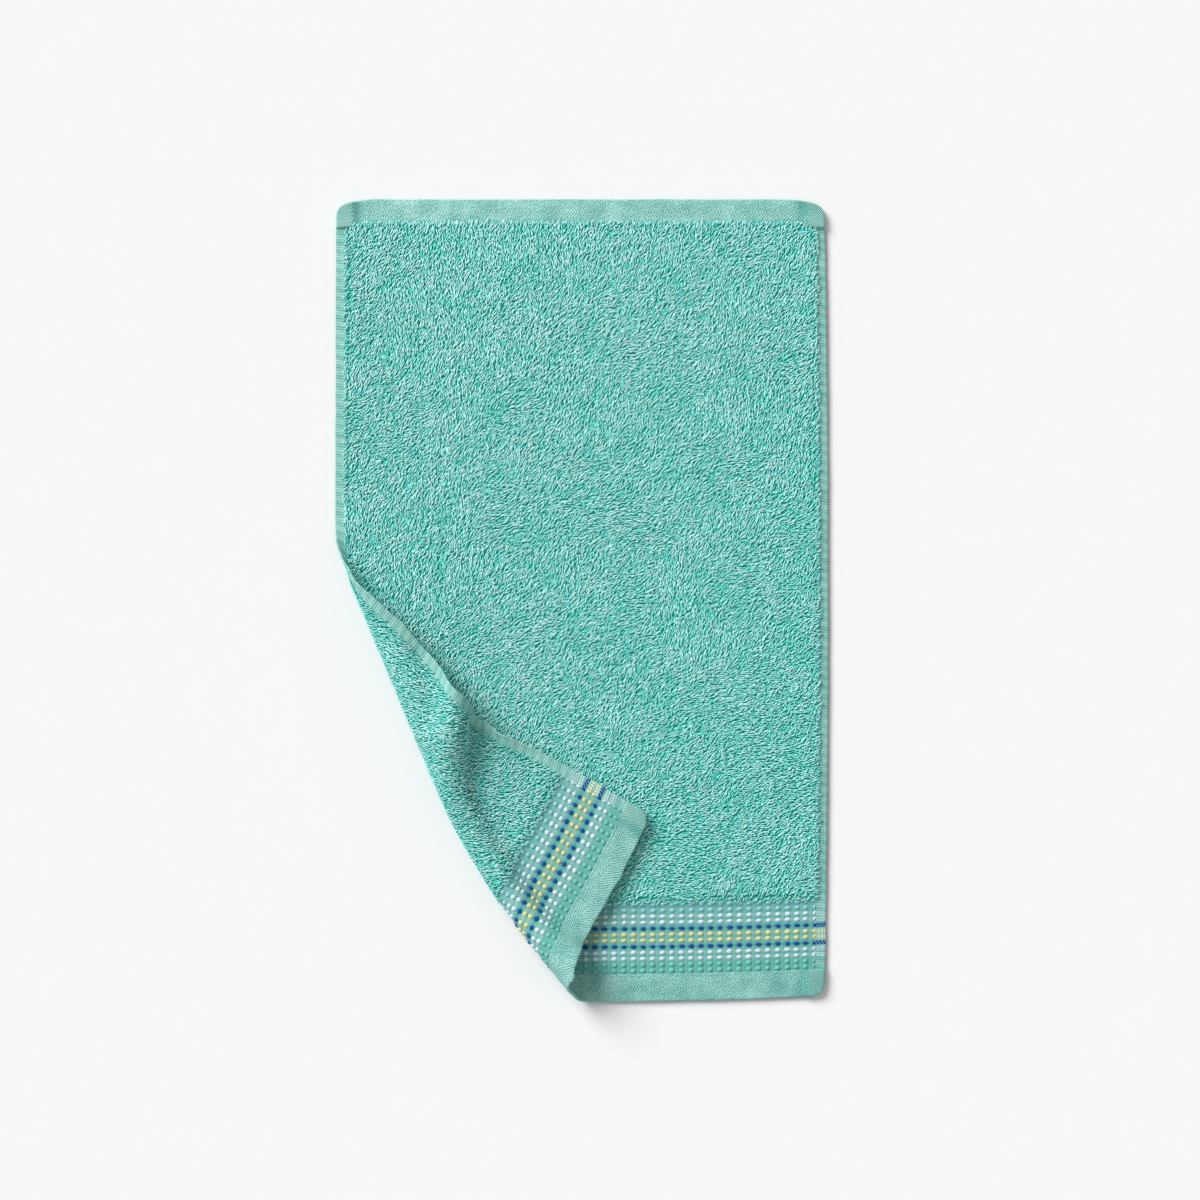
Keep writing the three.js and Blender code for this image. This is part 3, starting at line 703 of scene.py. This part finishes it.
def strew(form, u, v, w, scale, turn=0.0, side=1):  # copies of a form set on the cloth
    points, faces = form
    count = len(u)
    local = points[None] * np.asarray(scale).reshape(-1, 1, 3)
    turn = np.broadcast_to(turn, (count,))[:, None]
    du = local[..., 0] * np.cos(turn) - local[..., 1] * np.sin(turn)
    dv = local[..., 0] * np.sin(turn) + local[..., 1] * np.cos(turn)
    w = np.broadcast_to(w, (count,))[:, None] + local[..., 2]
    places = drape(u[:, None] + du, v[:, None] + dv, side * w).reshape(-1, 3)
    rings = (faces[None] + np.arange(count)[:, None, None] * len(points)).reshape(-1, 3)
    if side < 0:
        rings = rings[:, ::-1]
    plan = np.broadcast_to(points[None, :, :2], (count, len(points), 2))
    flat = plan * 0.5 + 0.5
    flat = flat + np.random.default_rng(count).random((count, 1, 2)) * 7
    tiles = math.ceil(math.sqrt(count))
    tile = np.stack((np.arange(count) % tiles, np.arange(count) // tiles), -1)[:, None]
    inner = plan / (2.1 * np.abs(points[:, :2]).max()) + 0.5
    return places, rings, {"cloth": flat.reshape(-1, 2), "OFBake": ((tile + inner) / tiles).reshape(-1, 2)}


def joined(shapes):
    places, faces, maps, start = [], [], {}, 0
    share = 1 / len(shapes)
    for k, (p, f, m) in enumerate(shapes):
        places.append(p)
        faces.append(f + start)
        start += len(p)
        for key, value in m.items():
            if key == "OFBake":
                value = value * (share, 1) + (k * share, 0)
            maps.setdefault(key, []).append(value)
    return np.concatenate(places), np.concatenate(faces), {key: np.concatenate(v) for key, v in maps.items()}


dotPlan = dict(face=(1.95, 1.36, 1.0), back=(1.72, 1.6, 1.1), aquaFace=(1.85, 1.5, 1.2), sit=0.3, jitter=0.1,
               speck=(0.2, 0.42, 0.24), speckSit=0.42, speckApart=0.6,
               speckShare=dict(royal_blue=1.0, yellow=0.8, white=0.8, light_blue=0.7))


def dotColumns():
    ends = np.array(borderPlan["ends"])
    middle = borderPlan["firstColumn"] + borderPlan["pitch"] * np.arange(1, borderPlan["gaps"])
    return np.concatenate((ends, middle, towel["width"] - ends[::-1]))


def dotRow(k, name, tint, dotForm, speckForm):
    rng = np.random.default_rng(40 + k)
    shapes = []
    columns = dotColumns()
    for side in (1, -1):
        size = dotPlan["back"] if side < 0 else dotPlan["aquaFace"] if tint == "aqua" else dotPlan["face"]
        u = columns + rng.normal(0, dotPlan["jitter"], len(columns))
        v = rowCentre(k) + rng.normal(0, dotPlan["jitter"] * 0.8, len(u))
        scale = np.array(size) * (1 + 0.06 * rng.standard_normal((len(u), 3)))
        scale[[0, -1], 0] *= 0.5
        scale[[1, -2], 0] *= 0.88
        shapes.append(strew(dotForm, u, v, dotPlan["sit"], scale, rng.normal(0, 0.06, len(u)), side))
        if tint != "aqua":  # the yarn shows again as it passes behind
            gaps = (columns[1:] + columns[:-1]) / 2
            gaps = np.concatenate((gaps - dotPlan["speckApart"], gaps + dotPlan["speckApart"]))
            size = np.array(dotPlan["speck"]) * dotPlan["speckShare"][tint]
            scale = np.abs(size * (1 + 0.2 * rng.standard_normal((len(gaps), 3))))
            v = rowCentre(k) + rng.normal(0, 0.12, len(gaps))
            turned = rng.normal(0, 0.3, len(gaps))
            shapes.append(strew(speckForm, gaps, v, dotPlan["speckSit"], scale, turned, side))
    pieceName = name.replace("_row_", "_dots_")
    return clothPiece(pieceName, joined(shapes), tint + "_yarn", yarnMaterial(tint), name)


stitchPlan = dict(length=2.5, pitch=3.1, thick=0.24, sunk=0.2)


def stitches(name, seam, node, stitchForm):
    u = np.arange(4.0, towel["width"] - 3.5, stitchPlan["pitch"])
    rng = np.random.default_rng(int(seam))
    scale = np.tile((stitchPlan["length"] / 2, stitchPlan["thick"], stitchPlan["thick"]), (len(u), 1))
    sit = towel["hemThick"] / 2 - stitchPlan["sunk"]
    shapes = []
    for side in (1, -1):
        placeU, placeV = u + rng.normal(0, 0.08, len(u)), seam + rng.normal(0, 0.05, len(u))
        shapes.append(strew(stitchForm, placeU, placeV, sit, scale, rng.normal(0, 0.03, len(u)), side))
    return clothPiece(name, joined(shapes), "sewing_thread", threadMaterial(), node)


# Terry loops
loopPlan = dict(pitch=1.42, thick=0.39, crown=1.78, crownVary=0.38, length=2.7, lengthVary=0.6, lean=0.9,
                sparsePitch=2.5, sparseThick=0.82, sparseLength=3.5, foot=0.15, scatter=0.3,
                jitter=0.32, edgeReach=2.2, ceiling=2.42)


def loopField(low, high, pitch, seed):  # jittered places in staggered rows, over the pile's own area
    rng = np.random.default_rng(seed)
    rows = np.arange(towel["borderEnd"] - 0.3, towel["pileEnd"] + 0.9, pitch * 0.866)
    rows = rows[(rows >= low) & (rows < high)]
    columns = np.arange(towel["side"] - 0.3, towel["width"] - towel["side"] + 0.3, pitch)
    u = np.concatenate([columns + (0.5 * pitch if round(r / (pitch * 0.866)) % 2 else 0) for r in rows])
    v = np.repeat(rows, len(columns))
    u = u + rng.uniform(-loopPlan["jitter"], loopPlan["jitter"], len(u)) * pitch
    v = v + rng.uniform(-loopPlan["jitter"], loopPlan["jitter"], len(v)) * pitch
    return np.clip(u, towel["side"] - 0.5, towel["width"] - towel["side"] + 0.5), v


def combing(u, v, side):  # which way the loops lean, turning slowly over the towel
    broad = 0.5 + 0.75 * v / towel["length"]
    drift = 1.1 * (softNoise(u, v, 34.0, 11 + side) - 0.5)
    swirl = 0.7 * (softNoise(u, v, 12.0, 15 + side) - 0.5)
    return broad + drift + swirl + 0.4 * (softNoise(u, v, 5.0, 21 + side) - 0.5)


def loopTubes(u, v, side, sparse, seed):
    rng = np.random.default_rng(seed)
    count = len(u)
    angle = combing(u, v, side) + rng.normal(0, loopPlan["scatter"], count)
    length = np.where(sparse, loopPlan["sparseLength"], loopPlan["length"])
    length = length + loopPlan["lengthVary"] * rng.normal(0, 1, count).clip(-1.6, 1.8)
    thick = np.where(sparse, loopPlan["sparseThick"], loopPlan["thick"])
    thick = thick * (1 + 0.1 * rng.standard_normal(count).clip(-2, 2))
    clump = 0.5 * softNoise(u, v, 3.0, 31 + side) + 0.5 * softNoise(u, v, 7.0, 33 + side)
    uneven = rng.standard_normal(count).clip(-2, 1.6) * 0.8 + 1.5 * (clump - 0.5)
    crown = np.minimum(loopPlan["crown"] + loopPlan["crownVary"] * uneven, towel["full"] / 2 - thick * 0.52)
    outU = (u > towel["width"] / 2) * 2.0 - 1
    edgeU = 1 - smooth(np.minimum(u, towel["width"] - u) - towel["side"], 0, loopPlan["edgeReach"])
    edgeV = 1 - smooth(np.minimum(v - towel["borderEnd"], towel["pileEnd"] - v), 0, loopPlan["edgeReach"])
    outV = (v > towel["length"] / 2) * 2.0 - 1
    spillU = outU * edgeU * rng.uniform(0.2, 1.9, count) * (0.7 + 0.3 * side)
    spillV = outV * edgeV * rng.uniform(0.3, 2.4, count)
    leanU = np.cos(angle) * loopPlan["lean"] * (1 - edgeU) + spillU
    leanV = np.sin(angle) * loopPlan["lean"] * (1 - edgeV) + spillV
    along = np.array((-0.5, -0.18, 0.5))[None] * length[:, None]
    rise = np.stack((np.full(count, 0.1), np.ones(count), rng.uniform(0.45, 1.0, count)), -1)
    c, s = np.cos(angle)[:, None], np.sin(angle)[:, None]
    pu = u[:, None] + along * c + leanU[:, None] * rise
    pv = v[:, None] + along * s + leanV[:, None] * rise
    pw = loopPlan["foot"] + rise * (crown - loopPlan["foot"])[:, None]
    path = np.stack((pu, pv, pw), -1)
    steps = np.diff(path, axis=1)
    ahead = np.concatenate((steps[:, :1], path[:, 2:] - path[:, :-2], steps[:, -1:]), 1)
    ahead /= np.linalg.norm(ahead, axis=-1, keepdims=True)
    level = np.stack((-s, c, np.zeros_like(s)), -1)
    left = level - ahead * (ahead * level).sum(-1, keepdims=True)
    left /= np.linalg.norm(left, axis=-1, keepdims=True)
    above = np.cross(ahead, left)
    spots = np.radians((30, 150, 270))
    size = thick[:, None] * np.array((0.75, 1.0, 0.85))
    around = left[:, :, None] * np.cos(spots)[:, None] + above[:, :, None] * np.sin(spots)[:, None]
    ring = path[:, :, None] + size[:, :, None, None] * around
    ring[..., 2] = np.clip(ring[..., 2], 0.05, loopPlan["ceiling"])
    places = drape(ring[..., 0], ring[..., 1], side * ring[..., 2]).reshape(-1, 3)
    quads = [(3 * k + m, 3 * k + (m + 1) % 3, 3 * k + 3 + (m + 1) % 3, 3 * k + 3 + m)
             for k in range(2) for m in range(3)]
    faces = [t for a, b, d, e in quads for t in ((a, b, d), (a, d, e))] + [(0, 2, 1), (6, 7, 8)]
    faces = (np.array(faces)[None] + np.arange(count)[:, None, None] * 9).reshape(-1, 3)
    if side < 0:
        faces = faces[:, ::-1]
    broadTone = 0.5 * softNoise(u, v, 22.0, 51 + side) + 0.5 * softNoise(u, v, 7.0, 57 + side)
    # painted light: loops are toned lighter towards the upper left, where the light comes from, and darker
    # towards the lower right; broadTone and the random part are the cloth's own uneven tone
    fade = 0.5 + u * (0.5 / towel["width"]) - v * (0.5 / towel["length"])
    tone = np.clip(0.75 - 0.4 * fade + 0.6 * (broadTone - 0.5) + 0.27 * rng.standard_normal(count), 0.0, 1.0)
    mapU = 0.02 + 0.9 * tone[:, None, None] + np.array((0.0, 0.02, 0.04))[None, None]
    # height up the loop, for the painted shade at the foot and painted highlight at the crown
    mapV = np.clip(ring[..., 2] / loopPlan["ceiling"], 0.01, 0.97) + np.array((0.0, 0.01, 0.02))[None, None]
    maps = {"OFBake": np.stack((mapU + 0 * mapV, mapV), -1).reshape(-1, 2)}
    return places, faces, maps


def terry(name, node, side, bands, material):
    step = (towel["pileEnd"] - towel["borderEnd"]) / bands
    for k in range(bands):
        low = towel["borderEnd"] + k * step - (1 if k == 0 else 0)
        high = towel["borderEnd"] + (k + 1) * step + (1 if k == bands - 1 else 0)
        seed = 100 * side + k * 7 + 300
        close = loopField(low, high, loopPlan["pitch"], seed)
        wide = loopField(low, high, loopPlan["sparsePitch"], seed)
        seenClose, seenWide = shows(*close, side), shows(*wide, side)
        u = np.concatenate((close[0][seenClose], wide[0][~seenWide]))
        v = np.concatenate((close[1][seenClose], wide[1][~seenWide]))
        sparse = np.arange(len(u)) >= seenClose.sum()
        shape = loopTubes(u, v, side, sparse, 900 + 10 * k + side)
        clothPiece(f"{name}_{k + 1}", shape, "terry_pile", material, node)
        print(name, k + 1, len(u), "loops,", len(shape[1]), "triangles")


def insideRing(x, y, ring):
    inside = np.zeros(x.shape, bool)
    for (ax, ay), (bx, by) in zip(ring, np.roll(ring, -1, 0)):
        crosses = (ay > y) != (by > y)
        with np.errstate(divide="ignore", invalid="ignore"):
            inside ^= crosses & (x < (bx - ax) * (y - ay) / (by - ay) + ax)
    return inside


def flapRing():  # the turned corner's outline in plan, drawn in a little
    inset, side, end = 9.0, np.linspace(236, 4, 40), np.linspace(4, 118, 24)
    ring = np.concatenate((drape(inset, side, 0.0), drape(end, inset, 0.0)))[:, :2] * 1000
    fold = np.array([fromCorner(p) + (6.0, 3.0) for p in turn["limit"]])[::-1]
    return np.concatenate((ring, fold))


flapOutline = flapRing()


def shows(u, v, side):  # loops that can be seen from above or from the side stand close together
    place, normal = sheetFrame(u, v)
    if side < 0:
        return normal[..., 2] < 0.75
    inPlan = insideRing(place[..., 0] + shift[0], place[..., 1] + shift[1], flapOutline)
    under = inPlan & (normal[..., 2] > 0.5)
    return (normal[..., 2] > -0.3) & ~under


cloth = towelCloth()
print("cloth laid")
lowSeam = hemPlan["low"] - hemPlan["seamIn"]
highSeam = towel["length"] - hemPlan["high"] + hemPlan["seamIn"]
hem("bottom_hem_sleeve", 0.0, hemPlan["low"], lowSeam, "bottom_hem")
hem("top_hem_sleeve", towel["length"] - hemPlan["high"], towel["length"], highSeam, "top_hem")
selvedge("left_selvedge_strip", True, "left_selvedge")
selvedge("right_selvedge_strip", False, "right_selvedge")
border()
print("hems, strips and border made")
dotForm, speckForm, stitchForm = handForm(8, 6, -0.15), handForm(6, 4), handForm(6, 6)
for k, (row, tint) in enumerate(rowTints):
    dotRow(k, row, tint, dotForm, speckForm)
stitches("bottom_hem_thread", lowSeam, "bottom_hem_stitching", stitchForm)
stitches("top_hem_thread", highSeam, "top_hem_stitching", stitchForm)
print("dots and stitches made")
terry("face_loops", "face_pile", 1, 6, pileMaterial("terryFace"))
# painted shade: the back loops, seen on the turned corner, are made 7 % darker
terry("back_loops", "back_pile", -1, 4, pileMaterial("terryBack", 0.93))
triangles = sum(len(p.data.polygons) * (len(p.data.polygons[0].vertices) - 2) for p in pieces)
print("towel has", triangles, "triangles")


# Floor, light and camera
studio = dict(floor=0.86, sun=3.45, sunAngle=32.0, sky=0.45, sunTilt=54.0, sunTurn=135.0,
              camera=(0.0114, 0.00047, 2.0), lens=96.0, sensor=36.0)


def setTheScene():
    bpy.ops.object.select_all(action="DESELECT")
    bpy.ops.mesh.primitive_plane_add(size=24.0, location=(0, 0, -0.0002))
    floor = bpy.context.object
    floor.name = "floor"
    material, paint = startMaterial("paleFloor")
    grain = paint.node("ShaderNodeTexNoise", inputs={"Scale": 40.0, "Detail": 3.0,
                                                     "Vector": paint.node("ShaderNodeTexCoord", out=3)})
    colour = grain.mix([studio["floor"] * 0.995] * 3, [studio["floor"]] * 3)
    endMaterial(paint, colour, 0.95, sheen=0.0, specular=0.0)
    floor.data.materials.append(material)
    world = bpy.data.worlds.new("paleRoom")
    bpy.context.scene.world = world
    world.use_nodes = True
    world.node_tree.nodes["Background"].inputs["Color"].default_value = (1, 1, 1, 1)
    world.node_tree.nodes["Background"].inputs["Strength"].default_value = studio["sky"]
    bpy.ops.object.light_add(type="SUN", location=(-1.5, 1.5, 2.5),
                             rotation=(0, math.radians(studio["sunTilt"]), math.radians(studio["sunTurn"])))
    sun = bpy.context.object
    sun.data.energy, sun.data.angle = studio["sun"], math.radians(studio["sunAngle"])
    bpy.ops.object.camera_add(location=studio["camera"], rotation=(0, 0, 0))
    camera = bpy.context.object
    camera.data.lens, camera.data.sensor_width = studio["lens"], studio["sensor"]
    bpy.context.scene.camera = camera
    bpy.context.scene.view_settings.view_transform = "Standard"


setTheScene()
print("scene set")
